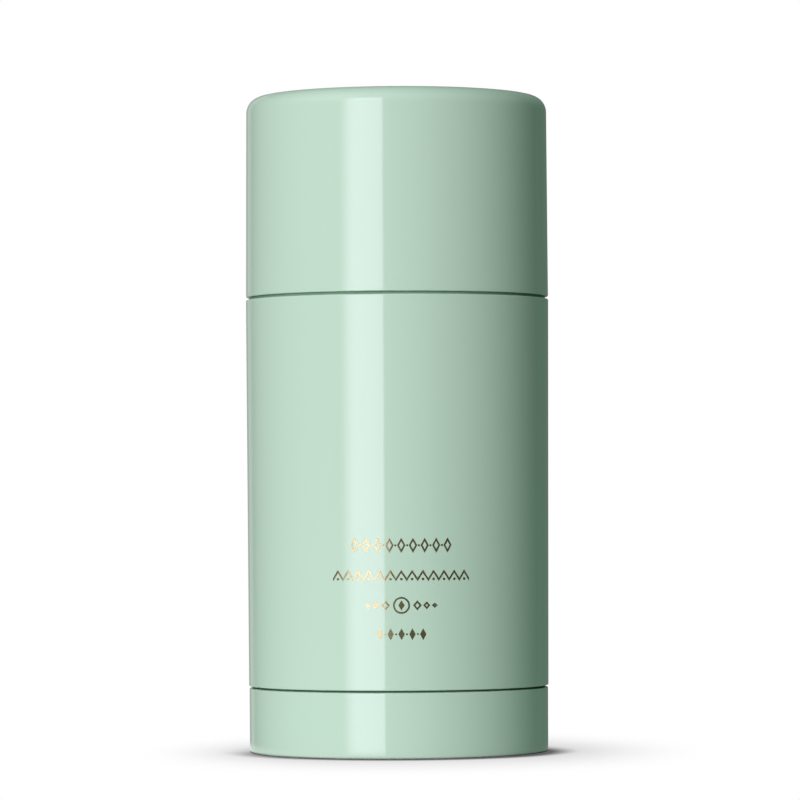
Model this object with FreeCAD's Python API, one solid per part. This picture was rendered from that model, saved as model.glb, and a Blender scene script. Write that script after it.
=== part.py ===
"""Twist-up deodorant stick: a round pack with a pull-off cap, a sleeved barrel,
a lead screw that lifts the stick, and a turning base.

Millimetres. The origin is the centre of the underside, +Z is up and the
printed front faces -Y. Each piece is one solid in its own file.
"""
import FreeCAD, Part
import math
import os

V = FreeCAD.Vector

# Outside of the pack
total_height = 99.5
body_radius = 23.0          # sleeve, at its top edge, where the pack is widest
sleeve_draft = 0.26         # how much narrower the sleeve is at its foot
cap_inset = 0.02            # cap rim inside the sleeve's top edge
cap_draft = 0.15            # how much narrower the cap is at its top
dial_inset = 0.06           # dial inside the sleeve's foot
dial_draft = 0.03
dial_height = 9.76
dial_gap = 0.3              # line between the dial and the sleeve
cap_height = 30.46
cap_gap = 0.4               # shadow line between the sleeve and the cap
cap_round = 2.4             # round at the cap's top edge
foot_round = 0.32
edge_round = 0.18           # rounds on either side of the two lines
small_round = 0.15          # moulded edges that nobody sees

# Walls
cap_wall = 1.25
cap_top_wall = 2.2
liner_wall = 0.8
liner_top_wall = 1.0
sleeve_wall = 1.44
lip_thickness = 1.5         # turned-in lip at the sleeve's top
barrel_wall = 1.2
floor_wall = 1.5
dial_wall = 1.3
dial_floor_wall = 1.5

# Clearances
fit_gap = 0.05              # between pieces that are pushed together for good
neck_gap = 0.3              # cap liner round the neck
slide_gap = 0.2             # elevator in the barrel
stick_gap = 0.25            # stick in the barrel
rib_gap = 0.3               # elevator and stick round each guide rib
thread_gap = 0.25           # nut round the screw, on every flank
bore_gap = 0.3              # stick round the screw's crests
journal_gap = 0.08          # screw's journal in the barrel floor
turn_gap = 0.1              # between faces that turn over one another
rest_gap = 0.3              # under the elevator when it is all the way down
skirt_gap = 0.3             # between the barrel's skirt and the dial's snap ring

# Cap liner
liner_rise = 0.4            # liner's lower edge above the cap's rim
liner_rib = 0.25            # crush ribs between the liner and the cap
liner_rib_width = 0.8
liner_rib_count = 12
cap_inner_round = 0.8
bead_height = 0.1           # grip beads on the neck and in the liner
bead_width = 1.2
neck_bead_rise = 3.0        # neck bead above the cap's rim
liner_bead_rise = 5.0

# Seat of the cap on the sleeve
seat_inset = 0.5            # seat ring inside the sleeve's top edge

# Tongue of the dial inside the sleeve's foot, which closes the line from behind
tongue_inset = 0.42         # tongue inside the dial's top edge
tongue_height = 0.9         # above the dial's top edge
tongue_gap = 0.12           # round and over the tongue

# Barrel
floor_rise = 0.94           # floor's underside above the sleeve's foot
flange_thickness = 1.5
spacer_rib_width = 1.0
spacer_rib_count = 8
guide_rib_width = 1.2
guide_rib_depth = 0.8
guide_rib_count = 4
guide_rib_below_neck = 3.0
neck_round = 0.4
skirt_depth = 4.4           # skirt that hangs from the barrel's floor
skirt_wall = 1.2
snap_hold = 0.35            # how far the two snap beads reach past each other
snap_bead_width = 0.8

# Stick and elevator
head_room = 6.3             # free height between the stick and the cap
dome_height = 6.0
stick_show = 2.0            # stick's edge above the neck
shoulder_round = 1.0
platform_rise = 4.5         # platform's top above the barrel's floor
platform_thickness = 1.6
skirt_of_platform_wall = 1.1
hub_radius = 6.0
hub_length = 7.1
fin_count = 4
fin_thickness = 1.0
fin_length = 6.5
fin_height = 5.0
fin_start = 8.5             # from the axis
stop_below_neck = 1.0       # hub's top below the neck with the stick right up
web_window_radius = 1.6     # holes that the stick's material keys into
web_window_ring = 13.5

# Lead screw
screw_core_radius = 2.7
screw_crest_radius = 3.6
screw_lead = 4.0
thread_root_width = 1.7
thread_crest_width = 0.9
thread_runout = 0.6         # plain length at either end of the thread
thread_engagement = 4.1     # nut still on the screw with the stick right up
screw_flange_radius = 5.4
screw_flange_thickness = 1.0
journal_radius = 3.3
shank_flats = 4.4
shank_above_plate = 0.4     # shank's end above the wheel's plate
bore_headspace = 1.0        # stick's bore above the screw

# Dial
foot_recess = 0.9
foot_width = 1.9            # flat ring that the pack stands on
wheel_plate = 1.5
wheel_rim_wall = 1.2
wheel_rim_below_barrel = 1.1
wheel_hub_radius = 5.0
wheel_rib_count = 8
wheel_rib_thickness = 1.0
snap_ring_wall = 1.2
snap_ring_below_floor = 1.1
snap_slot_count = 6
snap_slot_width = 2.0

# Heights that follow
sleeve_foot_z = dial_height + dial_gap
cap_rim_z = total_height - cap_height
sleeve_top_z = cap_rim_z - cap_gap
cap_ceiling_z = total_height - cap_top_wall
liner_ceiling_z = cap_ceiling_z - liner_top_wall
crown_z = liner_ceiling_z - head_room
stick_edge_z = crown_z - dome_height
neck_top_z = stick_edge_z - stick_show
guide_top_z = neck_top_z - guide_rib_below_neck
lip_under_z = sleeve_top_z - lip_thickness
floor_z = sleeve_foot_z + floor_rise
floor_top_z = floor_z + floor_wall
screw_flange_z = floor_top_z + turn_gap
screw_flange_top_z = screw_flange_z + screw_flange_thickness
hub_z = screw_flange_top_z + rest_gap
hub_top_z = hub_z + hub_length
platform_top_z = floor_top_z + platform_rise
travel = neck_top_z - stop_below_neck - hub_top_z
screw_top_z = hub_z + travel + thread_engagement
thread_low_z = screw_flange_top_z + thread_runout + thread_root_width / 2
thread_high_z = screw_top_z - thread_runout - thread_root_width / 2
barrel_skirt_z = floor_z - skirt_depth
dial_floor_top_z = foot_recess + dial_floor_wall
tongue_top_z = dial_height + tongue_height
rebate_top_z = tongue_top_z + tongue_gap
wheel_plate_top_z = dial_floor_top_z + wheel_plate
wheel_hub_top_z = floor_z - turn_gap
wheel_rim_top_z = sleeve_foot_z - wheel_rim_below_barrel
wheel_rib_top_z = barrel_skirt_z - skirt_gap
snap_ring_top_z = floor_z - snap_ring_below_floor
shank_z = wheel_plate_top_z + shank_above_plate

# Radii that follow, from the outside in
cap_rim_radius = body_radius - cap_inset
cap_top_radius = cap_rim_radius - cap_draft
cap_bore = cap_top_radius - cap_wall
liner_rib_radius = cap_bore - fit_gap
liner_radius = liner_rib_radius - liner_rib
liner_bore = liner_radius - liner_wall
neck_radius = liner_bore - neck_gap
barrel_bore = neck_radius - barrel_wall
stick_radius = barrel_bore - stick_gap
elevator_radius = barrel_bore - slide_gap
sleeve_foot_radius = body_radius - sleeve_draft
sleeve_bore = sleeve_foot_radius - sleeve_wall
seat_radius = body_radius - seat_inset
lip_bore = neck_radius + fit_gap
flange_radius = sleeve_bore - fit_gap
dial_radius = sleeve_foot_radius - dial_inset
dial_foot_radius = dial_radius - dial_draft
dial_bore = dial_foot_radius - dial_wall
tongue_radius = dial_radius - tongue_inset
rebate_radius = tongue_radius + tongue_gap
wheel_radius = dial_bore - fit_gap
skirt_radius = barrel_bore
skirt_bore = skirt_radius - skirt_wall
snap_ring_radius = skirt_bore - skirt_gap - snap_hold - skirt_gap
snap_bead_radius = skirt_bore - skirt_gap
skirt_bead_bore = snap_ring_radius + skirt_gap


def rounded_wire(corners):
    """Closed outline in the XZ plane from corners (radius, height, edge round)."""
    stops = []
    count = len(corners)
    for i in range(count):
        r, z, edge = corners[i]
        here = V(r, 0, z)
        if edge == 0:
            stops.append((here, None, here))
            continue
        before = V(corners[i - 1][0], 0, corners[i - 1][1])
        after = V(corners[(i + 1) % count][0], 0, corners[(i + 1) % count][1])
        back = (before - here).normalize()
        ahead = (after - here).normalize()
        half = back.getAngle(ahead) / 2
        middle = (back + ahead).normalize()
        centre = here + middle * (edge / math.sin(half))
        reach = edge / math.tan(half)
        stops.append((here + back * reach, centre - middle * edge, here + ahead * reach))
    edges = []
    for i in range(count):
        start, bulge, end = stops[i]
        if bulge is not None:
            edges.append(Part.Arc(start, bulge, end).toShape())
        onward = stops[(i + 1) % count][0]
        if end.distanceToPoint(onward) > 1e-6:
            edges.append(Part.LineSegment(end, onward).toShape())
    return Part.Wire(edges)


def turned(corners):
    """Solid made by turning an outline of corners about the axis."""
    face = Part.Face(rounded_wire(corners))
    return face.revolve(V(0, 0, 0), V(0, 0, 1), 360)


def ring(inner, outer, low, high):
    """Plain ring between two radii and two heights."""
    return turned([(inner, low, 0), (outer, low, 0), (outer, high, 0), (inner, high, 0)])


def bead(radius, height, z, width):
    """Ring with a pointed crest, standing out from a wall by height, inwards if negative."""
    root = -0.5 * height
    outline = [(radius + root, z - width / 2, 0), (radius + height, z, 0), (radius + root, z + width / 2, 0)]
    if height < 0:
        outline.reverse()
    return turned(outline)


def block(length, width, height, x, z):
    """Upright block along X from x, centred on Y."""
    return Part.makeBox(length, width, height, V(x, -width / 2, z))


def around(shape, count, start=0.0):
    """Copies of a shape spaced evenly about the axis."""
    copies = []
    for i in range(count):
        copy = shape.copy()
        copy.rotate(V(0, 0, 0), V(0, 0, 1), start + 360.0 * i / count)
        copies.append(copy)
    return copies


def threaded_rod(core_radius, crest_radius, crest_width, low, high, ridge_low, ridge_high):
    """Round rod with a left-hand ridge, in phase with any other that starts whole leads away."""
    slope = (thread_root_width - thread_crest_width) / (screw_crest_radius - screw_core_radius)
    bite = core_radius / 10
    root_radius = core_radius - bite
    half_crest = crest_width / 2
    half_root = half_crest + slope * (crest_radius - root_radius) / 2
    path = Part.makeHelix(screw_lead, ridge_high - ridge_low, root_radius, 0, True)
    path.translate(V(0, 0, ridge_low))
    outline = Part.makePolygon([
        V(root_radius, 0, ridge_low - half_root),
        V(crest_radius, 0, ridge_low - half_crest),
        V(crest_radius, 0, ridge_low + half_crest),
        V(root_radius, 0, ridge_low + half_root),
        V(root_radius, 0, ridge_low - half_root),
    ])
    ridge = Part.Wire(path.Edges).makePipeShell([outline], True, True)
    return Part.makeCylinder(core_radius, high - low, V(0, 0, low)).fuse(ridge)


def outer_cap():
    """Glossy drum that shows, with a round top edge."""
    return turned([
        (cap_bore, cap_rim_z, small_round),
        (cap_rim_radius, cap_rim_z, edge_round),
        (cap_top_radius, total_height, cap_round),
        (0, total_height, 0),
        (0, cap_ceiling_z, 0),
        (cap_bore, cap_ceiling_z, cap_inner_round),
    ])


def cap_liner():
    """Inner cup pushed into the cap, which grips the neck."""
    low = cap_rim_z + liner_rise
    cup = turned([
        (liner_bore, low, small_round),
        (liner_radius, low, small_round),
        (liner_radius, cap_ceiling_z, cap_inner_round),
        (0, cap_ceiling_z, 0),
        (0, liner_ceiling_z, 0),
        (liner_bore, liner_ceiling_z, cap_inner_round / 2),
    ])
    rib_top = cap_ceiling_z - 2 * cap_inner_round
    rib = block(liner_rib_radius - liner_radius + liner_wall / 2, liner_rib_width, rib_top - low - liner_rise,
                liner_radius - liner_wall / 2, low + liner_rise)
    parts = around(rib, liner_rib_count)
    parts.append(bead(liner_bore, -bead_height, cap_rim_z + liner_bead_rise, bead_width))
    return cup.multiFuse(parts).removeSplitter()


def body_shell():
    """Outer sleeve with the lip and seat ring that the cap closes on, and a rebate for the dial's tongue."""
    return turned([
        (rebate_radius, sleeve_foot_z, 0),
        (sleeve_foot_radius, sleeve_foot_z, edge_round),
        (body_radius, sleeve_top_z, edge_round),
        (seat_radius, sleeve_top_z, 0),
        (seat_radius, cap_rim_z, 0),
        (lip_bore, cap_rim_z, 0),
        (lip_bore, lip_under_z, 0),
        (sleeve_bore, lip_under_z, 0),
        (sleeve_bore, rebate_top_z, 0),
        (rebate_radius, rebate_top_z, 0),
    ])


def inner_barrel():
    """Tube that holds the stick: neck, floor, guide ribs, flanges and snap skirt."""
    tube = turned([
        (barrel_bore, sleeve_foot_z, 0),
        (flange_radius, sleeve_foot_z, small_round),
        (flange_radius, sleeve_foot_z + flange_thickness, 0),
        (neck_radius, sleeve_foot_z + flange_thickness, 0),
        (neck_radius, lip_under_z - flange_thickness, 0),
        (flange_radius, lip_under_z - flange_thickness, 0),
        (flange_radius, lip_under_z, 0),
        (neck_radius, lip_under_z, 0),
        (neck_radius, neck_top_z, neck_round),
        (barrel_bore, neck_top_z, neck_round),
    ])
    inside = barrel_wall / 2
    floor = ring(journal_radius + journal_gap, barrel_bore + inside, floor_z, floor_top_z)
    skirt = ring(skirt_bore, skirt_radius, barrel_skirt_z, floor_z + floor_wall / 2)
    bead_mid_z = barrel_skirt_z + snap_bead_width
    reach = skirt_bore - skirt_bead_bore
    snap = bead(skirt_bore, -reach, bead_mid_z, 2 * snap_bead_width)
    spacer_low_z = sleeve_foot_z + flange_thickness / 2
    spacer = block(flange_radius - neck_radius + inside, spacer_rib_width,
                   lip_under_z - flange_thickness / 2 - spacer_low_z, neck_radius - inside, spacer_low_z)
    guide = block(guide_rib_depth + inside, guide_rib_width, guide_top_z - floor_z - floor_wall / 2,
                  barrel_bore - guide_rib_depth, floor_z + floor_wall / 2)
    grip = bead(neck_radius, bead_height, cap_rim_z + neck_bead_rise, bead_width)
    parts = [floor, skirt, snap, grip]
    parts += around(spacer, spacer_rib_count, 180.0 / spacer_rib_count)
    parts += around(guide, guide_rib_count)
    return tube.multiFuse(parts).removeSplitter()


def guide_notches(radius, low, high):
    """Cutters that clear the barrel's guide ribs from a disc of the given radius."""
    depth = guide_rib_depth + rib_gap
    notch = block(depth + (barrel_bore - radius), guide_rib_width + 2 * rib_gap, high - low, barrel_bore - depth, low)
    return around(notch, guide_rib_count)


def elevator():
    """Platform under the stick, with the nut that rides on the screw."""
    low = floor_top_z + rest_gap
    under = platform_top_z - platform_thickness
    skirt_bore_of_platform = elevator_radius - guide_rib_depth - rib_gap - skirt_of_platform_wall
    plate = turned([
        (0, under, 0),
        (skirt_bore_of_platform, under, 0),
        (skirt_bore_of_platform, low, 0),
        (elevator_radius, low, small_round),
        (elevator_radius, platform_top_z, small_round),
        (0, platform_top_z, 0),
    ])
    hub = Part.makeCylinder(hub_radius, hub_length, V(0, 0, hub_z))
    fin = block(fin_length, fin_thickness, fin_height + platform_thickness / 2, fin_start,
                platform_top_z - platform_thickness / 2)
    window = Part.makeCylinder(web_window_radius, platform_top_z - low, V(web_window_ring, 0, low))
    body = plate.multiFuse([hub] + around(fin, fin_count))
    windows = around(window, fin_count, 180.0 / fin_count)
    body = body.cut(windows[0].multiFuse(windows[1:] + guide_notches(elevator_radius, low, platform_top_z)))
    tap_low = thread_low_z - 2 * screw_lead
    tap_high = tap_low + math.ceil((hub_top_z - tap_low) / screw_lead + 1) * screw_lead
    tap = threaded_rod(screw_core_radius + thread_gap, screw_crest_radius + thread_gap,
                       thread_crest_width + 2 * thread_gap, tap_low, tap_high, tap_low, tap_high)
    return body.cut(tap).removeSplitter()


def deodorant_block():
    """The stick, cast on the elevator, with a domed top and a bore for the screw."""
    sphere_radius = (stick_radius ** 2 + dome_height ** 2) / (2 * dome_height)
    lean = math.asin(stick_radius / sphere_radius) / 2
    sphere_z = crown_z - sphere_radius
    halfway = V(sphere_radius * math.sin(lean), 0, sphere_z + sphere_radius * math.cos(lean))
    low = V(0, 0, platform_top_z)
    foot = V(stick_radius, 0, platform_top_z)
    edge = V(stick_radius, 0, stick_edge_z)
    crown = V(0, 0, crown_z)
    outline = Part.Wire([
        Part.LineSegment(low, foot).toShape(),
        Part.LineSegment(foot, edge).toShape(),
        Part.Arc(edge, halfway, crown).toShape(),
        Part.LineSegment(crown, low).toShape(),
    ])
    stick = Part.Face(outline).revolve(V(0, 0, 0), V(0, 0, 1), 360)
    shoulder = [e for e in stick.Edges if abs(e.BoundBox.ZMin - stick_edge_z) < 1e-3
                and abs(e.BoundBox.ZMax - stick_edge_z) < 1e-3 and len(e.Vertexes) == 1]
    stick = stick.makeFillet(shoulder_round, shoulder)
    bore_top_z = screw_top_z + bore_headspace
    bore = Part.makeCylinder(screw_crest_radius + bore_gap, bore_top_z - platform_top_z, V(0, 0, platform_top_z))
    hub_space = Part.makeCylinder(hub_radius + fit_gap, hub_top_z - platform_top_z, V(0, 0, platform_top_z))
    notches = guide_notches(stick_radius, platform_top_z, guide_top_z + rib_gap)
    cutters = bore.multiFuse([hub_space] + notches)
    fins = around(block(fin_length, fin_thickness, fin_height, fin_start, platform_top_z), fin_count)
    return stick.cut(cutters.multiFuse(fins)).removeSplitter()


def lead_screw():
    """Screw with a flange on the barrel's floor and a square shank in the dial's hub."""
    spindle = turned([
        (0, wheel_hub_top_z, 0),
        (journal_radius, wheel_hub_top_z, 0),
        (journal_radius, screw_flange_z, 0),
        (screw_flange_radius, screw_flange_z, 0),
        (screw_flange_radius, screw_flange_top_z, small_round),
        (0, screw_flange_top_z, 0),
    ])
    rod = threaded_rod(screw_core_radius, screw_crest_radius, thread_crest_width,
                       screw_flange_z, screw_top_z, thread_low_z, thread_high_z)
    shank = block(shank_flats, shank_flats, wheel_hub_top_z - shank_z, -shank_flats / 2, shank_z)
    return rod.multiFuse([spindle, shank]).removeSplitter()


def dial_shell():
    """Glossy cup that is turned by hand, with a flat foot ring round a recess and a tongue at the top."""
    recess_radius = dial_foot_radius - foot_round - foot_width
    return turned([
        (0, foot_recess, 0),
        (recess_radius, foot_recess, small_round),
        (recess_radius, 0, small_round),
        (dial_foot_radius, 0, foot_round),
        (dial_radius, dial_height, edge_round),
        (tongue_radius, dial_height, 0),
        (tongue_radius, tongue_top_z, small_round),
        (dial_bore, tongue_top_z, small_round),
        (dial_bore, dial_floor_top_z, small_round),
        (0, dial_floor_top_z, 0),
    ])


def dial_wheel():
    """Ribbed wheel inside the dial, with the screw's socket and the snap ring."""
    low = dial_floor_top_z
    half_plate = wheel_plate / 2
    root_z = low + half_plate
    rim_bore = wheel_radius - wheel_rim_wall
    plate = turned([
        (0, low, 0),
        (wheel_radius, low, small_round * 2),
        (wheel_radius, wheel_rim_top_z, small_round),
        (rim_bore, wheel_rim_top_z, small_round),
        (rim_bore, wheel_plate_top_z, 0),
        (0, wheel_plate_top_z, 0),
    ])
    hub = Part.makeCylinder(wheel_hub_radius, wheel_hub_top_z - root_z, V(0, 0, root_z))
    snap_ring = ring(snap_ring_radius - snap_ring_wall, snap_ring_radius, root_z, snap_ring_top_z)
    hook = bead(snap_ring_radius, snap_bead_radius - snap_ring_radius, snap_ring_top_z - snap_bead_width,
                2 * snap_bead_width)
    slot = block(3 * snap_ring_wall, snap_slot_width, snap_ring_top_z - wheel_rib_top_z,
                 snap_ring_radius - 2 * snap_ring_wall, wheel_rib_top_z)
    hooked = snap_ring.fuse(hook)
    for cutter in around(slot, snap_slot_count):
        hooked = hooked.cut(cutter)
    rib_start = wheel_hub_radius / 2
    rib = block(rim_bore + wheel_rim_wall / 2 - rib_start, wheel_rib_thickness, wheel_rib_top_z - root_z,
                rib_start, root_z)
    ribs = around(rib, wheel_rib_count, 180.0 / wheel_rib_count)
    body = plate.multiFuse([hub, hooked] + ribs)
    socket = block(shank_flats, shank_flats, wheel_hub_top_z - shank_z, -shank_flats / 2, shank_z)
    return body.cut(socket).removeSplitter()


pieces = {
    "outer_cap": outer_cap(),
    "cap_liner": cap_liner(),
    "body_shell": body_shell(),
    "inner_barrel": inner_barrel(),
    "elevator": elevator(),
    "deodorant_block": deodorant_block(),
    "lead_screw": lead_screw(),
    "dial_shell": dial_shell(),
    "dial_wheel": dial_wheel(),
}

os.makedirs("parts", exist_ok=True)
for node, shape in pieces.items():
    shape.exportStep("parts/" + node + ".step")
    box = shape.BoundBox
    print(node, "valid" if shape.isValid() else "INVALID", len(shape.Solids), "solid",
          "%.1f mm3" % shape.Volume, "z %.2f to %.2f" % (box.ZMin, box.ZMax), "r %.2f" % box.XMax)
print("travel %.2f mm, %.2f turns" % (travel, travel / screw_lead))
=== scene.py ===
"""Looks of the twist-up deodorant stick: lacquered cap, sleeve and dial, white mouldings,
the domed stick, foil ornament on the front, a studio's soft light and the camera.

Metres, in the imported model's frame: +Z up, the printed front faces -Y.
"""
import math

import bmesh
import bpy
from mathutils import Matrix, Vector


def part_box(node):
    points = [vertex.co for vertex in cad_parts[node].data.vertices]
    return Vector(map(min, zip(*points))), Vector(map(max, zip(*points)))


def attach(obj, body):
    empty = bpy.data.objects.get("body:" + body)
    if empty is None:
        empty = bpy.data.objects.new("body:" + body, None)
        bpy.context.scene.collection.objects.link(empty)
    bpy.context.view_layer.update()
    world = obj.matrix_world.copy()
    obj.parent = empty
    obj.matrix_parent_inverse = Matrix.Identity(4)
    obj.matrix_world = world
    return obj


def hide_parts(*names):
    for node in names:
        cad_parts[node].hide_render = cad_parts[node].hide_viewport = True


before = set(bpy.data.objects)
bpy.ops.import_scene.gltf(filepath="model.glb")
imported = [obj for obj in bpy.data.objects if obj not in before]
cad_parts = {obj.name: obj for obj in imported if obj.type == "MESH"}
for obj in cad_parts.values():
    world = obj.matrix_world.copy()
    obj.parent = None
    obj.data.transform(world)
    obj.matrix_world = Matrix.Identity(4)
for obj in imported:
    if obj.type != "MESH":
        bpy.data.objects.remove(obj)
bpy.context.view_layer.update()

MM = 0.001
WHITE = (1.0, 1.0, 1.0)

# Outside sizes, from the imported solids
cap_low, cap_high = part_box("outer_cap")
sleeve_low, sleeve_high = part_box("body_shell")
dial_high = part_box("dial_shell")[1]
body_radius = sleeve_high.x

# Moulded form, under the names that the part's source gives
sleeve_draft = 0.26 * MM
cap_inset = 0.02 * MM
cap_draft = 0.15 * MM
dial_inset = 0.06 * MM
dial_draft = 0.03 * MM
cap_gap = 0.4 * MM
cap_round = 2.4 * MM
foot_round = 0.32 * MM
edge_round = 0.18 * MM
small_round = 0.15 * MM
cap_wall = 1.25 * MM
cap_top_wall = 2.2 * MM
cap_inner_round = 0.8 * MM
liner_rib = 0.25 * MM
liner_wall = 0.8 * MM
fit_gap = 0.05 * MM
neck_gap = 0.3 * MM
sleeve_wall = 1.44 * MM
lip_thickness = 1.5 * MM
seat_inset = 0.5 * MM
tongue_inset = 0.42 * MM
tongue_height = 0.9 * MM
tongue_gap = 0.12 * MM
dial_wall = 1.3 * MM
dial_floor_wall = 1.5 * MM
foot_recess = 0.9 * MM
foot_width = 1.9 * MM

# How finely turned forms are cut
AROUND = 288                    # segments in a full turn
ARC_STEP = math.radians(9)      # along an edge's round
ARC_LEAST = 3                   # steps in any round
HOLD = 0.2 * MM                 # from a round to the point that keeps the wall beside it even
HELD_FROM = 4 * HOLD            # shortest wall that gets such points
TURNED_WELD = 1e-6

# How the solids' own meshes are smoothed
COPIED_WELD = 1e-7
SHARP_EDGE = math.radians(32)
AREA_WEIGHT = 100
WALL_LEAN = 0.01                # most upward part of an upright wall's normal
WALL_FACET = math.radians(15)   # most turn from a facet's middle to its corner
WALL_LEAST_RADIUS = 0.5 * MM
WALL_OUT_OF_ROUND = 0.01 * MM

# Surfaces
MOTTLE_DETAIL = 3.0
GRAIN_DETAIL = 2.0
SUBSURFACE_SPREAD = (1.0, 0.9, 0.7)
SUBSURFACE_DEPTH = 0.8 * MM

# Painted shade on the two recessed rings of lacquer, so that the lines read dark: the cap's seat
# and the dial's tongue
SEAM_DEPTH = 0.4 * MM           # inside the sleeve's radius
SEAM_SPREAD = 0.01 * MM
# Colour factors of the painted shade on each ring
SEAT_PAINTED_SHADE = (0.40, 0.52, 0.43)
TONGUE_PAINTED_SHADE = (0.13, 0.22, 0.16)

# Foil ornament on the front of the sleeve: four rows, centred on one another
FOIL_PROUD = 0.02 * MM
FOIL_SUNK = 0.01 * MM
FOIL_STROKE = 0.26 * MM
FOIL_TURN = math.radians(1.1)   # of all rows, to the right
DOT_SIDES = 12
CHAIN_Z = 31.5 * MM
CHAIN_COUNT = 9
CHAIN_PITCH = 1.74 * MM
CHAIN_LINK = (1.25 * MM, 2.25 * MM)
CHAIN_DOT = 0.17 * MM
ZIGZAG_Z = 27.05 * MM
ZIGZAG_COUNT = 13
ZIGZAG_PITCH = 1.6 * MM
ZIGZAG_HEIGHT = 1.9 * MM
ZIGZAG_DOT = 0.2 * MM
ZIGZAG_DOT_DROP = 0.28          # of the zigzag's height
ROSETTE_Z = 22.65 * MM
RING_RADIUS = 1.25 * MM
RING_SIDES = 40
RING_HEART = (0.9 * MM, 1.5 * MM)
LEAVES = (                      # in mm: distance from the middle, width, height
    (2.35, 1.3, 1.5),
    (3.75, 1.1, 1.15),
    (4.95, 0.9, 0.8),
)
CLOSE_Z = 18.4 * MM
CLOSE_COUNT = 5
CLOSE_PITCH = 1.6 * MM
CLOSE_LOZENGE = (0.95 * MM, 1.75 * MM)
CLOSE_DOT = 0.15 * MM

# Shade on the floor: a wide one that ends in an ellipse, and a core close to the pack
FLOOR_HALF = 1.5
OCCLUSION_SAMPLES = 16
SHADE_REACH = 46 * MM
SHADE_DEPTH = 0.85
SHADE_DARKEST = 0.12
SHADE_SHIFT = 4 * MM            # of the ellipse's middle, to the right
SHADE_ACROSS = 45 * MM          # the ellipse's half axes
SHADE_ALONG = 80 * MM
SHADE_HOLD = 0.48               # share of the ellipse without any fading
CORE_REACH = 5 * MM
CORE_MEAN = 1.25
CORE_LEAST = 0.3
CORE_TO_RIGHT = 0.03 / MM
CORE_TO_FRONT = 0.09 / MM

# Light that the floor sends up to the pack, and what of it the lacquer mirrors
FLOOR_NEAR = 40 * MM
FLOOR_FAR = 140 * MM
BOUNCE_NEAR = 0.43
BOUNCE_FAR = 0.3
BOUNCE_RIGHT = 0.75
BOUNCE_COLOUR = (0.86, 1.05, 0.93)
GLOSS_NEAR = 25 * MM
GLOSS_FAR = 44 * MM
GLOSS_LEFT = 1.0
GLOSS_RIGHT = 0.15
CONTACT_FROM = 22.8 * MM        # under the foot, where hardly any light comes
CONTACT_FULL = 23.6 * MM
CONTACT_LEAST = 0.05

# Surround: the room's light, and what the lacquer mirrors: a room, and a sky over the camera
ROOM_FILL = 0.135
ROOM_COLOUR = (0.73, 1.22, 0.95)
MIRRORED_LEFT = 0.22
MIRRORED_RIGHT = 0.02
SKY = 3.5
SKY_FROM = 0.15
SKY_FULL = 0.5

# Lamps: azimuth and elevation in degrees, distance, width and height, radiance, colour, and how
# the pack shows the lamp. Azimuth 0 is behind the camera, and positive is to the camera's left.
LAMP_AIM = 50 * MM
LAMPS = (
    ("key", 27.5, 10, 1.2, 0.55, 0.8, 9.6, (1.07, 0.967, 1.02), "diffuse"),
    ("strip", 27.55, 0, 0.7, 0.435, 0.9, 4.1, (0.96, 0.91, 1.09), "glossy"),
    ("overhead", 0, 90, 1.2, 0.6, 0.6, 2.4, WHITE, "diffuse"),
    ("back", 180, 25, 1.2, 0.7, 0.7, 4.6, WHITE, "diffuse"),
    ("back_left", 165, 0, 0.75, 0.45, 0.9, 0.21, (0.95, 1.05, 0.97), "glossy"),
    ("left_rim", 151.5, 0, 0.75, 0.19, 0.9, 0.29, WHITE, "glossy"),
    ("right_rim", -150, 0, 0.75, 0.45, 0.9, 0.065, (0.55, 1.3, 0.7), "glossy"),
)
# Where across its width a lamp has no light yet, and where all of it
SOFT_EDGES = {"strip": (0.0, 0.4), "back_left": (1.0, 0.6), "left_rim": (1.0, 0.6)}

# Camera, as fitted to the photograph
CAMERA_DISTANCE = 0.724
CAMERA_HEIGHT = 38.08 * MM
CAMERA_FOCAL_PX = 4757.0
CAMERA_FRAME_PX = 800.0
CAMERA_SENSOR = 36.0
CAMERA_PITCH = math.radians(1.212)
CAMERA_YAW = math.radians(-0.03)
CAMERA_ROLL = math.radians(-0.27)
CAMERA_CLIP = (0.05, 20.0)


def in_scene(name, data):
    """New object in the scene, at the origin."""
    piece = bpy.data.objects.new(name, data)
    bpy.context.scene.collection.objects.link(piece)
    return piece


def tree_socket(tree, name, kind, direction="INPUT", value=None):
    """Adds a named socket to a node tree and returns its identifier."""
    socket = tree.interface.new_socket(name, in_out=direction, socket_type=kind)
    if value is not None:
        socket.default_value = value
    return socket.identifier


def join(tree, *pairs):
    """Links output sockets to input sockets."""
    for out, into in pairs:
        tree.links.new(out, into)


def math_node(tree, operation, a=None, b=None, c=None):
    """Math node whose inputs are sockets or plain values."""
    node = tree.nodes.new("ShaderNodeMath")
    node.operation = operation
    for i, value in enumerate((a, b, c)):
        if value is None:
            continue
        if isinstance(value, (int, float)):
            node.inputs[i].default_value = value
        else:
            tree.links.new(value, node.inputs[i])
    return node.outputs[0]


def hypotenuse(tree, a, b):
    """Length of the hypotenuse over two sockets."""
    square = math_node(tree, "MULTIPLY", b, b)
    return math_node(tree, "SQRT", math_node(tree, "MULTIPLY_ADD", a, a, square))


def ramp(tree, value, start, end, first, last):
    """Smooth change from one value to another."""
    node = tree.nodes.new("ShaderNodeMapRange")
    node.interpolation_type = "SMOOTHSTEP"
    for i, setting in enumerate((start, end, first, last)):
        node.inputs[i + 1].default_value = setting
    tree.links.new(value, node.inputs["Value"])
    return node.outputs["Result"]


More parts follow.
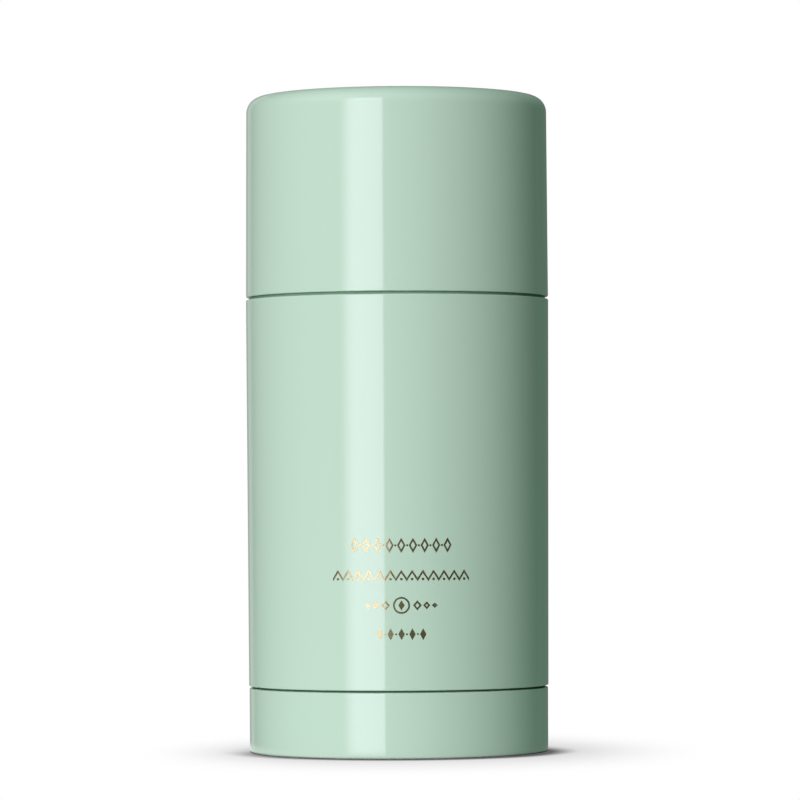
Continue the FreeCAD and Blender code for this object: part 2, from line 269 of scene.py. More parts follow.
def turning_tree():
    """Geometry Nodes: an outline of points (radius, 0, height), turned about Z."""
    tree = bpy.data.node_groups.new("turned_form", "GeometryNodeTree")
    inputs = {
        "Outline": tree_socket(tree, "Outline", "NodeSocketGeometry"),
        "Segments": tree_socket(tree, "Segments", "NodeSocketInt", value=AROUND),
        "Closed": tree_socket(tree, "Closed", "NodeSocketInt", value=0),
        "Finish": tree_socket(tree, "Finish", "NodeSocketMaterial"),
    }
    tree_socket(tree, "Form", "NodeSocketGeometry", "OUTPUT")
    new = tree.nodes.new
    given = new("NodeGroupInput")
    result = new("NodeGroupOutput")
    count = new("GeometryNodeAttributeDomainSize")
    grid = new("GeometryNodeMeshGrid")
    split = new("ShaderNodeSeparateXYZ")
    place = new("GeometryNodeInputPosition")
    sample = new("GeometryNodeSampleIndex")
    sample.data_type = "FLOAT_VECTOR"
    turn = new("ShaderNodeVectorRotate")
    turn.rotation_type = "Z_AXIS"
    move = new("GeometryNodeSetPosition")
    weld = new("GeometryNodeMergeByDistance")
    weld.inputs["Distance"].default_value = TURNED_WELD
    realize = new("GeometryNodeRealizeInstances")
    finish = new("GeometryNodeSetMaterial")
    points = count.outputs["Point Count"]
    columns = math_node(tree, "ADD", points, given.outputs["Closed"])
    rows = math_node(tree, "ADD", given.outputs["Segments"], 1)
    last = math_node(tree, "SUBTRACT", columns, 1)
    nearest = math_node(tree, "ROUND", math_node(tree, "MULTIPLY", split.outputs["X"], last))
    index = math_node(tree, "FLOORED_MODULO", nearest, points)
    angle = math_node(tree, "MULTIPLY", split.outputs["Y"], 2 * math.pi)
    join(tree,
         (given.outputs["Outline"], count.inputs["Geometry"]),
         (columns, grid.inputs["Vertices X"]),
         (rows, grid.inputs["Vertices Y"]),
         (grid.outputs["UV Map"], split.inputs["Vector"]),
         (given.outputs["Outline"], sample.inputs["Geometry"]),
         (place.outputs["Position"], sample.inputs["Value"]),
         (index, sample.inputs["Index"]),
         (sample.outputs["Value"], turn.inputs["Vector"]),
         (angle, turn.inputs["Angle"]),
         (grid.outputs["Mesh"], move.inputs["Geometry"]),
         (turn.outputs["Vector"], move.inputs["Position"]),
         (move.outputs["Geometry"], weld.inputs["Geometry"]),
         (weld.outputs["Geometry"], realize.inputs["Geometry"]),
         (realize.outputs["Geometry"], finish.inputs["Geometry"]),
         (given.outputs["Finish"], finish.inputs["Material"]),
         (finish.outputs["Geometry"], result.inputs["Form"]))
    return tree, inputs


def rounded(corners, closed):
    """Points of an outline from corners (radius, height, edge round), with a point that holds the
    wall even beside each round."""
    stops = []
    count = len(corners)
    for i, (r, z, edge) in enumerate(corners):
        here = Vector((r, z))
        ends = not closed and i in (0, count - 1)
        if edge == 0 or ends:
            stops.append([here])
            continue
        back = (Vector(corners[i - 1][:2]) - here).normalized()
        ahead = (Vector(corners[(i + 1) % count][:2]) - here).normalized()
        half = back.angle(ahead) / 2
        centre = here + (back + ahead).normalized() * (edge / math.sin(half))
        start = here + back * (edge / math.tan(half)) - centre
        sweep = math.pi - 2 * half
        turn = math.copysign(sweep, back.x * ahead.y - back.y * ahead.x)
        steps = max(ARC_LEAST, math.ceil(sweep / ARC_STEP))
        arc = []
        for k in range(steps + 1):
            a = -turn * k / steps
            arc.append(centre + Vector((start.x * math.cos(a) - start.y * math.sin(a),
                                        start.x * math.sin(a) + start.y * math.cos(a))))
        stops.append(arc)
    points = []
    for i, arc in enumerate(stops):
        points += arc
        if i == count - 1 and not closed:
            break
        end, onward = arc[-1], stops[(i + 1) % count][0]
        run = (onward - end).length
        if run > HELD_FROM:
            step = (onward - end).normalized() * HOLD
            points += [end + step, onward - step]
    return points


def plain_mesh(name, tree, base, settings, smooth=True):
    """Runs a tree on a base mesh and returns a new object with the result as its own mesh."""
    holder = in_scene(name + "_holder", base)
    modifier = holder.modifiers.new("form", "NODES")
    modifier.node_group = tree
    for identifier, value in settings.items():
        modifier[identifier] = value
    graph = bpy.context.evaluated_depsgraph_get()
    mesh = bpy.data.meshes.new_from_object(holder.evaluated_get(graph))
    mesh.name = name
    holder.modifiers.remove(modifier)
    bpy.data.objects.remove(holder)
    mesh.polygons.foreach_set("use_smooth", [smooth] * len(mesh.polygons))
    return in_scene(name, mesh)


turned_form, turned_inputs = turning_tree()


def turned_piece(name, corners, closed, material):
    """Round piece from its outline's corners, which run anticlockwise round the material."""
    points = rounded(corners, closed)
    base = bpy.data.meshes.new(name + "_outline")
    links = [(i, i + 1) for i in range(len(points) - 1)]
    base.from_pydata([(p.x, 0.0, p.y) for p in points], links, [])
    return plain_mesh(name, turned_form, base, {
        turned_inputs["Segments"]: AROUND,
        turned_inputs["Closed"]: int(closed),
        turned_inputs["Finish"]: material,
    })


def effect_group():
    """Shader group for moulded and lacquered surfaces: faint mottle, roughness and grain."""
    group = bpy.data.node_groups.new("moulded_surface", "ShaderNodeTree")
    for name, value in (("Mottle Scale", 60.0), ("Mottle", 0.02), ("Grain Scale", 900.0),
                        ("Grain", 0.1), ("Grain Depth", 0.000001), ("Smoothest", 0.1),
                        ("Roughest", 0.14)):
        tree_socket(group, name, "NodeSocketFloat", value=value)
    tree_socket(group, "Colour", "NodeSocketColor")
    tree_socket(group, "Colour", "NodeSocketColor", "OUTPUT")
    tree_socket(group, "Roughness", "NodeSocketFloat", "OUTPUT")
    tree_socket(group, "Normal", "NodeSocketVector", "OUTPUT")
    new = group.nodes.new
    given = new("NodeGroupInput")
    result = new("NodeGroupOutput")
    where = new("ShaderNodeTexCoord")
    mottle = new("ShaderNodeTexNoise")
    mottle.inputs["Detail"].default_value = MOTTLE_DETAIL
    grain = new("ShaderNodeTexNoise")
    grain.inputs["Detail"].default_value = GRAIN_DETAIL
    shade = new("ShaderNodeMapRange")
    rough = new("ShaderNodeMapRange")
    tint = new("ShaderNodeVectorMath")
    tint.operation = "SCALE"
    bump = new("ShaderNodeBump")
    darkest = math_node(group, "SUBTRACT", 1.0, given.outputs["Mottle"])
    lightest = math_node(group, "ADD", 1.0, given.outputs["Mottle"])
    join(group,
         (where.outputs["Object"], mottle.inputs["Vector"]),
         (where.outputs["Object"], grain.inputs["Vector"]),
         (given.outputs["Mottle Scale"], mottle.inputs["Scale"]),
         (given.outputs["Grain Scale"], grain.inputs["Scale"]),
         (mottle.outputs["Fac"], shade.inputs["Value"]),
         (darkest, shade.inputs["To Min"]),
         (lightest, shade.inputs["To Max"]),
         (given.outputs["Colour"], tint.inputs[0]),
         (shade.outputs["Result"], tint.inputs["Scale"]),
         (mottle.outputs["Fac"], rough.inputs["Value"]),
         (given.outputs["Smoothest"], rough.inputs["To Min"]),
         (given.outputs["Roughest"], rough.inputs["To Max"]),
         (grain.outputs["Fac"], bump.inputs["Height"]),
         (given.outputs["Grain"], bump.inputs["Strength"]),
         (given.outputs["Grain Depth"], bump.inputs["Distance"]),
         (tint.outputs["Vector"], result.inputs["Colour"]),
         (rough.outputs["Result"], result.inputs["Roughness"]),
         (bump.outputs["Normal"], result.inputs["Normal"]))
    return group


moulded_surface = effect_group()


def moulded_material(name, colour, effect, ior=1.5, metallic=0.0, subsurface=0.0):
    """Principled material whose colour, roughness and grain come from the shared group."""
    material = bpy.data.materials.new(name)
    material.use_nodes = True
    tree = material.node_tree
    shader = tree.nodes["Principled BSDF"]
    shader.inputs["IOR"].default_value = ior
    shader.inputs["Metallic"].default_value = metallic
    shader.inputs["Subsurface Weight"].default_value = subsurface
    shader.inputs["Subsurface Radius"].default_value = SUBSURFACE_SPREAD
    shader.inputs["Subsurface Scale"].default_value = SUBSURFACE_DEPTH
    surface = tree.nodes.new("ShaderNodeGroup")
    surface.node_tree = moulded_surface
    surface.inputs["Colour"].default_value = (*colour, 1.0)
    for key, value in effect.items():
        surface.inputs[key].default_value = value
    join(tree,
         (surface.outputs["Colour"], shader.inputs["Base Color"]),
         (surface.outputs["Roughness"], shader.inputs["Roughness"]),
         (surface.outputs["Normal"], shader.inputs["Normal"]))
    return material


def shaded_point(tree, space):
    """X, Y and Z sockets of the point that is shaded."""
    where = tree.nodes.new("ShaderNodeTexCoord")
    split = tree.nodes.new("ShaderNodeSeparateXYZ")
    tree.links.new(where.outputs[space], split.inputs["Vector"])
    return [split.outputs[axis] for axis in "XYZ"]


def paint_seam_shade(material):
    """Painted shade: darkens the lacquer's colour on the recessed cap's seat and dial's tongue."""
    tree = material.node_tree
    shader = tree.nodes["Principled BSDF"]
    colour = shader.inputs["Base Color"].links[0].from_socket
    x, y, z = shaded_point(tree, "Object")
    inside = math_node(tree, "LESS_THAN", hypotenuse(tree, x, y), body_radius - SEAM_DEPTH)
    seat = math_node(tree, "COMPARE", z, sleeve_high.z - cap_gap / 2, cap_gap / 2 + SEAM_SPREAD)
    tongue = math_node(tree, "COMPARE", z, dial_high.z - tongue_height / 2,
                       tongue_height / 2 - SEAM_SPREAD)
    # Painted shade: the lacquer's colour is multiplied by the ring's factor where the ring lies
    for ring, tint in ((seat, SEAT_PAINTED_SHADE), (tongue, TONGUE_PAINTED_SHADE)):
        left = tree.nodes.new("ShaderNodeVectorMath")
        left.operation = "MULTIPLY_ADD"
        left.inputs[1].default_value = [value - 1.0 for value in tint]
        left.inputs[2].default_value = WHITE
        seam_shaded = tree.nodes.new("ShaderNodeVectorMath")
        seam_shaded.operation = "MULTIPLY"
        join(tree,
             (math_node(tree, "MULTIPLY", inside, ring), left.inputs[0]),
             (colour, seam_shaded.inputs[0]),
             (left.outputs["Vector"], seam_shaded.inputs[1]))
        colour = seam_shaded.outputs["Vector"]
    tree.links.new(colour, shader.inputs["Base Color"])


green_lacquer = moulded_material(
    "green_lacquer", (0.515, 0.705, 0.58),
    {"Mottle": 0.006, "Grain Scale": 700.0, "Grain": 0.15, "Grain Depth": 0.002 * MM,
     "Smoothest": 0.065, "Roughest": 0.09})
# Painted shade on the cap's seat and the dial's tongue, deep in the lines between the parts
paint_seam_shade(green_lacquer)
white_plastic = moulded_material(
    "white_plastic", (0.82, 0.83, 0.80),
    {"Mottle": 0.012, "Grain Scale": 1500.0, "Grain": 0.4, "Grain Depth": 0.01 * MM,
     "Smoothest": 0.32, "Roughest": 0.42}, subsurface=0.25)
screw_plastic = moulded_material(
    "screw_plastic", (0.74, 0.75, 0.72),
    {"Mottle": 0.012, "Grain Scale": 1500.0, "Grain": 0.3, "Grain Depth": 0.008 * MM,
     "Smoothest": 0.28, "Roughest": 0.38})
deodorant_wax = moulded_material(
    "deodorant_wax", (0.84, 0.82, 0.73),
    {"Mottle": 0.02, "Mottle Scale": 140.0, "Grain Scale": 420.0, "Grain": 0.6,
     "Grain Depth": 0.03 * MM, "Smoothest": 0.42, "Roughest": 0.6}, ior=1.44, subsurface=0.5)
gold_foil = moulded_material(
    "gold_foil", (0.30, 0.27, 0.14),
    {"Mottle": 0.08, "Mottle Scale": 700.0, "Grain Scale": 5000.0, "Grain": 0.5,
     "Grain Depth": 0.002 * MM, "Smoothest": 0.16, "Roughest": 0.24}, metallic=0.8)


def lacquered_cap():
    """Cap: drum with a round top edge and a fine rim."""
    rim = body_radius - cap_inset
    top = rim - cap_draft
    bore = top - cap_wall
    ceiling = cap_high.z - cap_top_wall
    corners = [
        (0, ceiling, 0),
        (bore, ceiling, cap_inner_round),
        (bore, cap_low.z, small_round),
        (rim, cap_low.z, edge_round),
        (top, cap_high.z, cap_round),
        (0, cap_high.z, 0),
    ]
    piece = turned_piece("lacquered_cap", corners, False, green_lacquer)
    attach(piece, "cap")
    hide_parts("outer_cap")


def neck_radius():
    """Outside radius of the barrel's neck, worked in from the cap."""
    bore = body_radius - cap_inset - cap_draft - cap_wall
    return bore - fit_gap - liner_rib - liner_wall - neck_gap


def lacquered_sleeve():
    """Sleeve with its turned-in lip, the seat ring behind the cap's line and the rebate in the
    foot for the dial's tongue."""
    foot = body_radius - sleeve_draft
    bore = foot - sleeve_wall
    top_z = sleeve_high.z - cap_gap
    lip_bore = neck_radius() + fit_gap
    seat = body_radius - seat_inset
    lip_z = top_z - lip_thickness
    rebate = foot - dial_inset - tongue_inset + tongue_gap
    rebate_z = dial_high.z + tongue_gap
    corners = [
        (rebate, sleeve_low.z, 0),
        (foot, sleeve_low.z, edge_round),
        (body_radius, top_z, edge_round),
        (seat, top_z, 0),
        (seat, sleeve_high.z, 0),
        (lip_bore, sleeve_high.z, 0),
        (lip_bore, lip_z, 0),
        (bore, lip_z, 0),
        (bore, rebate_z, 0),
        (rebate, rebate_z, 0),
    ]
    piece = turned_piece("lacquered_sleeve", corners, True, green_lacquer)
    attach(piece, "housing")
    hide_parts("body_shell")


def lacquered_dial():
    """Dial: shallow cup on a flat foot ring round a recess, with the tongue on its top edge."""
    top = body_radius - sleeve_draft - dial_inset
    foot = top - dial_draft
    bore = foot - dial_wall
    recess = foot - foot_round - foot_width
    floor_z = foot_recess + dial_floor_wall
    edge_z = dial_high.z - tongue_height
    tongue = top - tongue_inset
    corners = [
        (0, foot_recess, 0),
        (recess, foot_recess, small_round),
        (recess, 0, small_round),
        (foot, 0, foot_round),
        (top, edge_z, edge_round),
        (tongue, edge_z, 0),
        (tongue, dial_high.z, small_round),
        (bore, dial_high.z, small_round),
        (bore, floor_z, small_round),
        (0, floor_z, 0),
    ]
    piece = turned_piece("lacquered_dial", corners, False, green_lacquer)
    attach(piece, "dial")
    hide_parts("dial_shell")


def wrapping_tree():
    """Geometry Nodes: copies of a flat motif in a row, wrapped round a slightly tapered drum."""
    tree = bpy.data.node_groups.new("foil_row", "GeometryNodeTree")
    inputs = {
        "Motif": tree_socket(tree, "Motif", "NodeSocketGeometry"),
        "Count": tree_socket(tree, "Count", "NodeSocketInt", value=1),
        "Pitch": tree_socket(tree, "Pitch", "NodeSocketFloat", value=0.0),
        "Height": tree_socket(tree, "Height", "NodeSocketFloat", value=0.0),
        "Radius": tree_socket(tree, "Radius", "NodeSocketFloat", value=1.0),
        "Taper": tree_socket(tree, "Taper", "NodeSocketFloat", value=0.0),
        "Turn": tree_socket(tree, "Turn", "NodeSocketFloat", value=0.0),
        "Finish": tree_socket(tree, "Finish", "NodeSocketMaterial"),
    }
    tree_socket(tree, "Form", "NodeSocketGeometry", "OUTPUT")
    new = tree.nodes.new
    given = new("NodeGroupInput")
    result = new("NodeGroupOutput")
    line = new("GeometryNodeMeshLine")
    start = new("ShaderNodeCombineXYZ")
    step = new("ShaderNodeCombineXYZ")
    copies = new("GeometryNodeInstanceOnPoints")
    realize = new("GeometryNodeRealizeInstances")
    place = new("GeometryNodeInputPosition")
    flat = new("ShaderNodeSeparateXYZ")
    bent = new("ShaderNodeCombineXYZ")
    move = new("GeometryNodeSetPosition")
    finish = new("GeometryNodeSetMaterial")
    radius = given.outputs["Radius"]
    gaps = math_node(tree, "SUBTRACT", given.outputs["Count"], 1)
    length = math_node(tree, "MULTIPLY", gaps, given.outputs["Pitch"])
    first = math_node(tree, "MULTIPLY", length, -0.5)
    along = math_node(tree, "DIVIDE", flat.outputs["X"], radius)
    angle = math_node(tree, "ADD", along, given.outputs["Turn"])
    leaning = math_node(tree, "MULTIPLY", flat.outputs["Z"], given.outputs["Taper"])
    surface = math_node(tree, "ADD", radius, leaning)
    out = math_node(tree, "SUBTRACT", surface, flat.outputs["Y"])
    across = math_node(tree, "MULTIPLY", out, math_node(tree, "SINE", angle))
    ahead = math_node(tree, "MULTIPLY", out, math_node(tree, "COSINE", angle))
    height = math_node(tree, "ADD", flat.outputs["Z"], given.outputs["Height"])
    join(tree,
         (given.outputs["Count"], line.inputs["Count"]),
         (first, start.inputs["X"]),
         (given.outputs["Pitch"], step.inputs["X"]),
         (start.outputs["Vector"], line.inputs["Start Location"]),
         (step.outputs["Vector"], line.inputs["Offset"]),
         (line.outputs["Mesh"], copies.inputs["Points"]),
         (given.outputs["Motif"], copies.inputs["Instance"]),
         (copies.outputs["Instances"], realize.inputs["Geometry"]),
         (place.outputs["Position"], flat.inputs["Vector"]),
         (across, bent.inputs["X"]),
         (math_node(tree, "MULTIPLY", ahead, -1.0), bent.inputs["Y"]),
         (height, bent.inputs["Z"]),
         (realize.outputs["Geometry"], move.inputs["Geometry"]),
         (bent.outputs["Vector"], move.inputs["Position"]),
         (move.outputs["Geometry"], finish.inputs["Geometry"]),
         (given.outputs["Finish"], finish.inputs["Material"]),
         (finish.outputs["Geometry"], result.inputs["Form"]))
    return tree, inputs


def foil_motif(name, outer, inner=None):
    """Thin closed shape in the XZ plane: a filled outline, or the band between two outlines."""
    mesh = bpy.data.meshes.new(name)
    loops = [outer] if inner is None else [outer, inner]
    count = len(outer)
    points = []
    for y in (-FOIL_PROUD, FOIL_SUNK):
        for loop in loops:
            points += [(x, y, z) for x, z in loop]
    layer = count * len(loops)
    faces = []
    for i in range(count):
        j = (i + 1) % count
        faces.append((i, i + layer, j + layer, j))
        if inner is not None:
            faces.append((i, j, j + count, i + count))
            faces.append((i + layer, i + count + layer, j + count + layer, j + layer))
            faces.append((i + count, j + count, j + count + layer, i + count + layer))
    if inner is None:
        faces.append(tuple(range(count)))
        faces.append(tuple(reversed(range(layer, layer + count))))
    mesh.from_pydata(points, [], faces)
    shell = bmesh.new()
    shell.from_mesh(mesh)
    bmesh.ops.recalc_face_normals(shell, faces=shell.faces)
    shell.to_mesh(mesh)
    shell.free()
    return mesh


def lozenge(width, height):
    """Corners of an upright lozenge."""
    return [(width / 2, 0), (0, height / 2), (-width / 2, 0), (0, -height / 2)]


def lozenge_outline(width, height):
    """Outer and inner corners of a lozenge drawn with the foil's stroke."""
    slant = math.hypot(width, height)
    less_width = 2 * FOIL_STROKE * slant / height
    less_height = 2 * FOIL_STROKE * slant / width
    return lozenge(width, height), lozenge(width - less_width, height - less_height)


def circle(radius, sides=DOT_SIDES):
    """Points of a round."""
    turns = [2 * math.pi * i / sides for i in range(sides)]
    return [(radius * math.cos(turn), radius * math.sin(turn)) for turn in turns]


def zigzag(pitch, height, count):
    """Outline of one long zigzag band: the upper edge there, the lower edge back."""
    rise = height - FOIL_STROKE * math.hypot(pitch / 2, height) / (pitch / 2)
    half = FOIL_STROKE * math.hypot(pitch / 2, rise) / (pitch / 2) / 2
    upper, lower = [], []
    for i in range(2 * count + 1):
        x = (i - count) * pitch / 2
        z = rise / 2 if i % 2 else -rise / 2
        upper.append((x, z + half))
        lower.append((x, z - half))
    return upper + lower[::-1]


def foil_parts():
    """The ornament's parts: name, height, motif, count, pitch, and shift to the right."""
    zigzag_band = zigzag(ZIGZAG_PITCH, ZIGZAG_HEIGHT, ZIGZAG_COUNT)
    zigzag_dots_z = ZIGZAG_Z - ZIGZAG_HEIGHT * ZIGZAG_DOT_DROP
    ring = (circle(RING_RADIUS, RING_SIDES), circle(RING_RADIUS - FOIL_STROKE, RING_SIDES))
    parts = [
        ("foil_chain", CHAIN_Z, foil_motif("chain_link", *lozenge_outline(*CHAIN_LINK)),
         CHAIN_COUNT, CHAIN_PITCH, 0.0),
        ("foil_chain_dots", CHAIN_Z, foil_motif("chain_dot", circle(CHAIN_DOT)),
         CHAIN_COUNT - 1, CHAIN_PITCH, 0.0),
        ("foil_zigzag", ZIGZAG_Z, foil_motif("zigzag", zigzag_band), 1, 0.0, 0.0),
        ("foil_zigzag_dots", zigzag_dots_z, foil_motif("zigzag_dot", circle(ZIGZAG_DOT)),
         ZIGZAG_COUNT, ZIGZAG_PITCH, 0.0),
        ("foil_ring", ROSETTE_Z, foil_motif("ring", *ring), 1, 0.0, 0.0),
        ("foil_ring_heart", ROSETTE_Z, foil_motif("ring_heart", lozenge(*RING_HEART)), 1, 0.0, 0.0),
    ]
    for side, side_name in ((-1, "left"), (1, "right")):
        for k, (x, width, height) in enumerate(LEAVES):
            motif = foil_motif("leaf", *lozenge_outline(width * MM, height * MM))
            name = "foil_leaf_%d_%s" % (k, side_name)
            parts.append((name, ROSETTE_Z, motif, 1, 0.0, side * x * MM))
    return parts + [
        ("foil_close", CLOSE_Z, foil_motif("close_lozenge", lozenge(*CLOSE_LOZENGE)),
         CLOSE_COUNT, CLOSE_PITCH, 0.0),
        ("foil_close_dots", CLOSE_Z, foil_motif("close_dot", circle(CLOSE_DOT)),
         CLOSE_COUNT - 1, CLOSE_PITCH, 0.0),
    ]


def joined(name, pieces, material):
    """One object in one finish from several, each already in its place."""
    whole = bmesh.new()
    for piece in pieces:
        whole.from_mesh(piece.data)
        bpy.data.objects.remove(piece)
    for face in whole.faces:
        face.material_index = 0
    mesh = bpy.data.meshes.new(name)
    whole.to_mesh(mesh)
    whole.free()
    mesh.materials.append(material)
    return in_scene(name, mesh)


def foil_rows():
    """Four rows of plain ornament in metal foil, low on the front of the sleeve."""
    wrap, sockets = wrapping_tree()
    top_z = sleeve_high.z - cap_gap
    taper = sleeve_draft / (top_z - sleeve_low.z)
    pieces = []
    for name, z, motif, count, pitch, shift in foil_parts():
        radius = body_radius - taper * (top_z - z)
        pieces.append(plain_mesh(name, wrap, motif, {
            sockets["Count"]: count,
            sockets["Pitch"]: pitch,
            sockets["Height"]: z,
            sockets["Radius"]: radius,
            sockets["Taper"]: taper,
            sockets["Turn"]: FOIL_TURN + shift / radius,
            sockets["Finish"]: gold_foil,
        }, smooth=False))
    ornament = joined("foil_ornament", pieces, gold_foil)
    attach(ornament, "housing")


def with_true_walls(mesh):
    """The mesh's corner normals, made exact on upright walls that are round about the axis."""
    normals = [Vector(corner.vector) for corner in mesh.corner_normals]
    for face in mesh.polygons:
        away = [mesh.vertices[v].co.to_2d() for v in face.vertices]
        reach = [point.length for point in away]
        upright = abs(face.normal.z) <= WALL_LEAN
        is_round = max(reach) - min(reach) <= WALL_OUT_OF_ROUND
        if not upright or not is_round or min(reach) < WALL_LEAST_RADIUS:
            continue
        side = face.normal.to_2d()
        inward = side.dot(away[0]) < 0
        for corner, point in zip(face.loop_indices, away):
            outward = point.normalized() * (-1 if inward else 1)
            if outward.angle(side) < WALL_FACET:
                normals[corner] = outward.to_3d()
    return normals


def smoothed_copy(name, node, body, material):
    """The node's own form with its triangles welded and smoothly shaded, to take a finer finish."""
    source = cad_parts[node]
    shell = bmesh.new()
    shell.from_mesh(source.data)
    bmesh.ops.remove_doubles(shell, verts=shell.verts, dist=COPIED_WELD)
    bmesh.ops.dissolve_degenerate(shell, edges=shell.edges, dist=COPIED_WELD)
    mesh = bpy.data.meshes.new(name)
    shell.to_mesh(mesh)
    shell.free()
    mesh.materials.clear()
    mesh.materials.append(material)
    mesh.polygons.foreach_set("use_smooth", [True] * len(mesh.polygons))
    mesh.set_sharp_from_angle(angle=SHARP_EDGE)
    piece = in_scene(name, mesh)
    even = piece.modifiers.new("even_shading", "WEIGHTED_NORMAL")
    even.keep_sharp = True
    even.weight = AREA_WEIGHT
    graph = bpy.context.evaluated_depsgraph_get()
    evened = bpy.data.meshes.new_from_object(piece.evaluated_get(graph))
    piece.modifiers.remove(even)
    evened.normals_split_custom_set(with_true_walls(evened))
    piece.data = evened
    bpy.data.meshes.remove(mesh)
    evened.name = name
    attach(piece, body)
    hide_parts(node)


def occlusion(tree, reach):
    """Share of the sky that stands hidden from a point by anything within reach."""
    node = tree.nodes.new("ShaderNodeAmbientOcclusion")
    node.samples = OCCLUSION_SAMPLES
    node.inputs["Distance"].default_value = reach
    return math_node(tree, "SUBTRACT", 1.0, node.outputs["AO"])


def glow(tree, kind, strength, colour=WHITE):
    """Shader of a node that gives light, an Emission or a Background. Its strength is a socket or
    a plain value."""
    node = tree.nodes.new("ShaderNode" + kind)
    node.inputs["Color"].default_value = (*colour, 1.0)
    if isinstance(strength, float):
        node.inputs["Strength"].default_value = strength
    else:
        tree.links.new(strength, node.inputs["Strength"])
    return node.outputs[kind]


def mixed(tree, share, first, second):
    """Shader that goes from the first to the second as the share goes from 0 to 1."""
    node = tree.nodes.new("ShaderNodeMixShader")
    join(tree, (share, node.inputs["Fac"]), (first, node.inputs[1]), (second, node.inputs[2]))
    return node.outputs["Shader"]


def floor_shade(tree, x, y):
    """Brightness of the floor for the camera: 1, less the wide shade and the core."""
    core_hidden = occlusion(tree, CORE_REACH)
    across = math_node(tree, "MULTIPLY_ADD", x, 1 / SHADE_ACROSS, -SHADE_SHIFT / SHADE_ACROSS)
    along = math_node(tree, "DIVIDE", y, SHADE_ALONG)
    fade = ramp(tree, hypotenuse(tree, across, along), SHADE_HOLD, 1.0, 1.0, 0.0)
    wide = math_node(tree, "MULTIPLY", occlusion(tree, SHADE_REACH), fade)
    rightward = math_node(tree, "MULTIPLY_ADD", x, CORE_TO_RIGHT, CORE_MEAN)
    leaning = math_node(tree, "MULTIPLY_ADD", y, -CORE_TO_FRONT, rightward)
    depth = math_node(tree, "MAXIMUM", leaning, CORE_LEAST)
    core = math_node(tree, "MULTIPLY", depth, core_hidden)
    core_light = math_node(tree, "SUBTRACT", 1.0, core)
    wide_light = math_node(tree, "SUBTRACT", 1.0, math_node(tree, "MULTIPLY", SHADE_DEPTH, wide))
    light = math_node(tree, "MULTIPLY", core_light, wide_light)
    return math_node(tree, "MAXIMUM", light, SHADE_DARKEST)


def stage_floor():
    """White floor. The camera sees it with the shade close to the pack, and the lacquer mirrors it
    near the pack only. The light that it sends up weakens outwards, to the right and under the
    foot."""
    floor_mesh = bpy.data.meshes.new("floor")
    signs = ((-1, -1), (1, -1), (1, 1), (-1, 1))
    floor_mesh.from_pydata([(x * FLOOR_HALF, y * FLOOR_HALF, 0) for x, y in signs], [],
                           [(0, 1, 2, 3)])
    floor = in_scene("floor", floor_mesh)
    material = bpy.data.materials.new("pale_floor")
    material.use_nodes = True
    tree = material.node_tree
    tree.nodes.clear()
    output = tree.nodes.new("ShaderNodeOutputMaterial")
    path = tree.nodes.new("ShaderNodeLightPath")
    beyond = tree.nodes.new("ShaderNodeBsdfTransparent")
    x, y, _ = shaded_point(tree, "Object")
    reach = hypotenuse(tree, x, y)
    contact = ramp(tree, reach, CONTACT_FROM, CONTACT_FULL, CONTACT_LEAST, 1.0)
    outward = ramp(tree, reach, FLOOR_NEAR, FLOOR_FAR, BOUNCE_NEAR, BOUNCE_FAR)
    rightward = ramp(tree, x, -FLOOR_NEAR, FLOOR_NEAR, 1.0, BOUNCE_RIGHT)
    bounce = math_node(tree, "MULTIPLY", math_node(tree, "MULTIPLY", outward, rightward), contact)
    sheen = math_node(tree, "MULTIPLY", contact,
                      ramp(tree, x, -FLOOR_NEAR, FLOOR_NEAR, GLOSS_LEFT, GLOSS_RIGHT))
    mirrored = mixed(tree, ramp(tree, reach, GLOSS_NEAR, GLOSS_FAR, 1.0, 0.0),
                     beyond.outputs["BSDF"], glow(tree, "Emission", sheen))
    lighting = mixed(tree, path.outputs["Is Glossy Ray"],
                     glow(tree, "Emission", bounce, BOUNCE_COLOUR), mirrored)
    whole = mixed(tree, path.outputs["Is Camera Ray"],
                  lighting, glow(tree, "Emission", floor_shade(tree, x, y)))
    tree.links.new(whole, output.inputs["Surface"])
    floor_mesh.materials.append(material)
    floor.visible_shadow = False


def surround():
    """White for the camera, a dim green room as light, and for the lacquer a room that is darker
    on the right, with a sky over the camera."""
    world = bpy.data.worlds.new("studio")
    bpy.context.scene.world = world
    world.use_nodes = True
    tree = world.node_tree
    tree.nodes.clear()
    output = tree.nodes.new("ShaderNodeOutputWorld")
    path = tree.nodes.new("ShaderNodeLightPath")
    x, y, z = shaded_point(tree, "Generated")
    sides = tree.nodes.new("ShaderNodeMapRange")
    sides.inputs["From Min"].default_value = -1.0
    sides.inputs["From Max"].default_value = 1.0
    sides.inputs["To Min"].default_value = MIRRORED_LEFT
    sides.inputs["To Max"].default_value = MIRRORED_RIGHT
    tree.links.new(x, sides.inputs["Value"])
    room = sides.outputs["Result"]
    sky = math_node(tree, "MULTIPLY", ramp(tree, y, -SKY_FULL, SKY_FROM, SKY, 0.0),
                    ramp(tree, z, SKY_FROM, SKY_FULL, 0.0, 1.0))
    mirrored = glow(tree, "Background", math_node(tree, "MULTIPLY_ADD", room, sky, room))
    lighting = mixed(tree, path.outputs["Is Glossy Ray"],
                     glow(tree, "Background", ROOM_FILL, ROOM_COLOUR), mirrored)
    whole = mixed(tree, path.outputs["Is Camera Ray"], lighting, glow(tree, "Background", 1.0))
    tree.links.new(whole, output.inputs["Surface"])


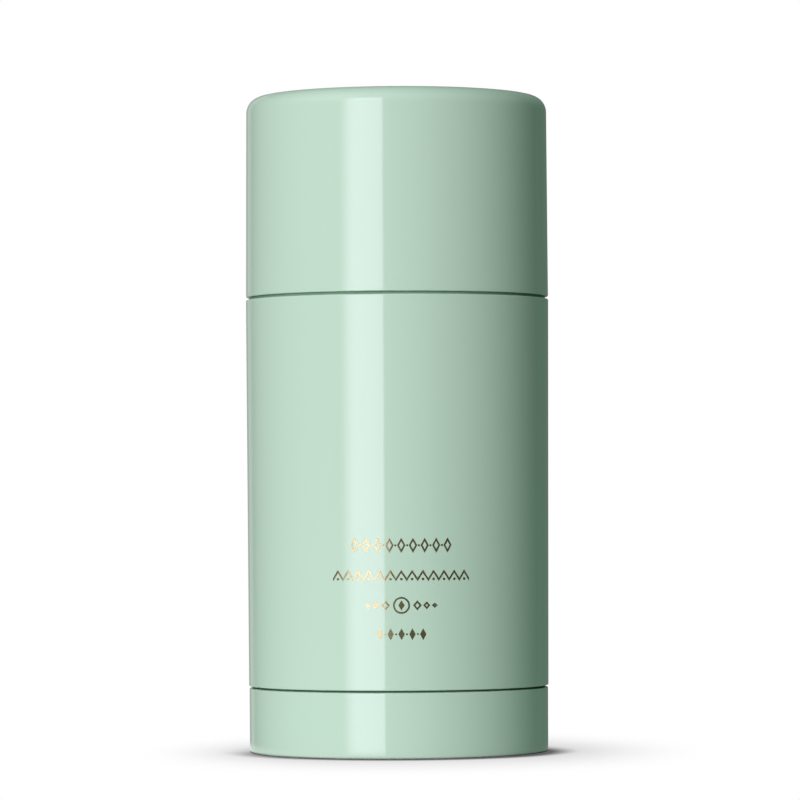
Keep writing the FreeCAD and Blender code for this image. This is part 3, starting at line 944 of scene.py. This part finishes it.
def lamp(name, azimuth, elevation, distance, width, height, radiance, colour, shown):
    """Soft rectangular lamp that faces the pack's axis. Returns its data."""
    data = bpy.data.lights.new(name, "AREA")
    data.shape = "RECTANGLE"
    data.size = width
    data.size_y = height
    data.energy = radiance * math.pi * width * height
    data.color = colour
    placed = in_scene(name, data)
    a, e = math.radians(azimuth), math.radians(elevation)
    away = Vector((-math.sin(a) * math.cos(e), -math.cos(a) * math.cos(e), math.sin(e)))
    placed.location = away * distance + Vector((0, 0, LAMP_AIM))
    placed.rotation_euler = away.to_track_quat("Z", "Y").to_euler()
    placed.visible_camera = False
    placed.visible_glossy = shown == "glossy"
    placed.visible_diffuse = shown == "diffuse"
    return data


def soft_edge(data, start, full):
    """Fades a lamp across its width, from no light at the start to all of it."""
    data.use_nodes = True
    tree = data.node_tree
    light = next(n for n in tree.nodes if n.type == "EMISSION")
    where = tree.nodes.new("ShaderNodeNewGeometry")
    split = tree.nodes.new("ShaderNodeSeparateXYZ")
    tree.links.new(where.outputs["Parametric"], split.inputs["Vector"])
    fade = ramp(tree, split.outputs["X"], start, full, 0.0, 1.0)
    tree.links.new(fade, light.inputs["Strength"])


def lamps():
    """Broad key from the camera's left, the tall strip that makes the highlight, soft lamps above
    and behind, and three dim ones behind that show only mirrored near the outline."""
    for name, *setting in LAMPS:
        data = lamp(name, *setting)
        if name in SOFT_EDGES:
            soft_edge(data, *SOFT_EDGES[name])


def camera():
    """The photograph's view: a long lens at about two fifths of the pack's height, square to its
    front."""
    data = bpy.data.cameras.new("camera")
    data.sensor_width = CAMERA_SENSOR
    data.lens = CAMERA_FOCAL_PX * CAMERA_SENSOR / CAMERA_FRAME_PX
    data.clip_start, data.clip_end = CAMERA_CLIP
    holder = in_scene("camera", data)
    turn = (Matrix.Rotation(CAMERA_YAW, 4, "Z")
            @ Matrix.Rotation(math.pi / 2 + CAMERA_PITCH, 4, "X")
            @ Matrix.Rotation(CAMERA_ROLL, 4, "Z"))
    holder.matrix_world = Matrix.Translation((0, -CAMERA_DISTANCE, CAMERA_HEIGHT)) @ turn
    bpy.context.scene.camera = holder


lacquered_cap()
lacquered_sleeve()
lacquered_dial()
foil_rows()
smoothed_copy("moulded_liner", "cap_liner", "cap", white_plastic)
smoothed_copy("moulded_barrel", "inner_barrel", "housing", white_plastic)
smoothed_copy("moulded_elevator", "elevator", "carrier", white_plastic)
smoothed_copy("cast_stick", "deodorant_block", "carrier", deodorant_wax)
smoothed_copy("moulded_screw", "lead_screw", "dial", screw_plastic)
smoothed_copy("moulded_wheel", "dial_wheel", "dial", white_plastic)
stage_floor()
surround()
lamps()
camera()
bpy.context.scene.view_settings.view_transform = "Standard"
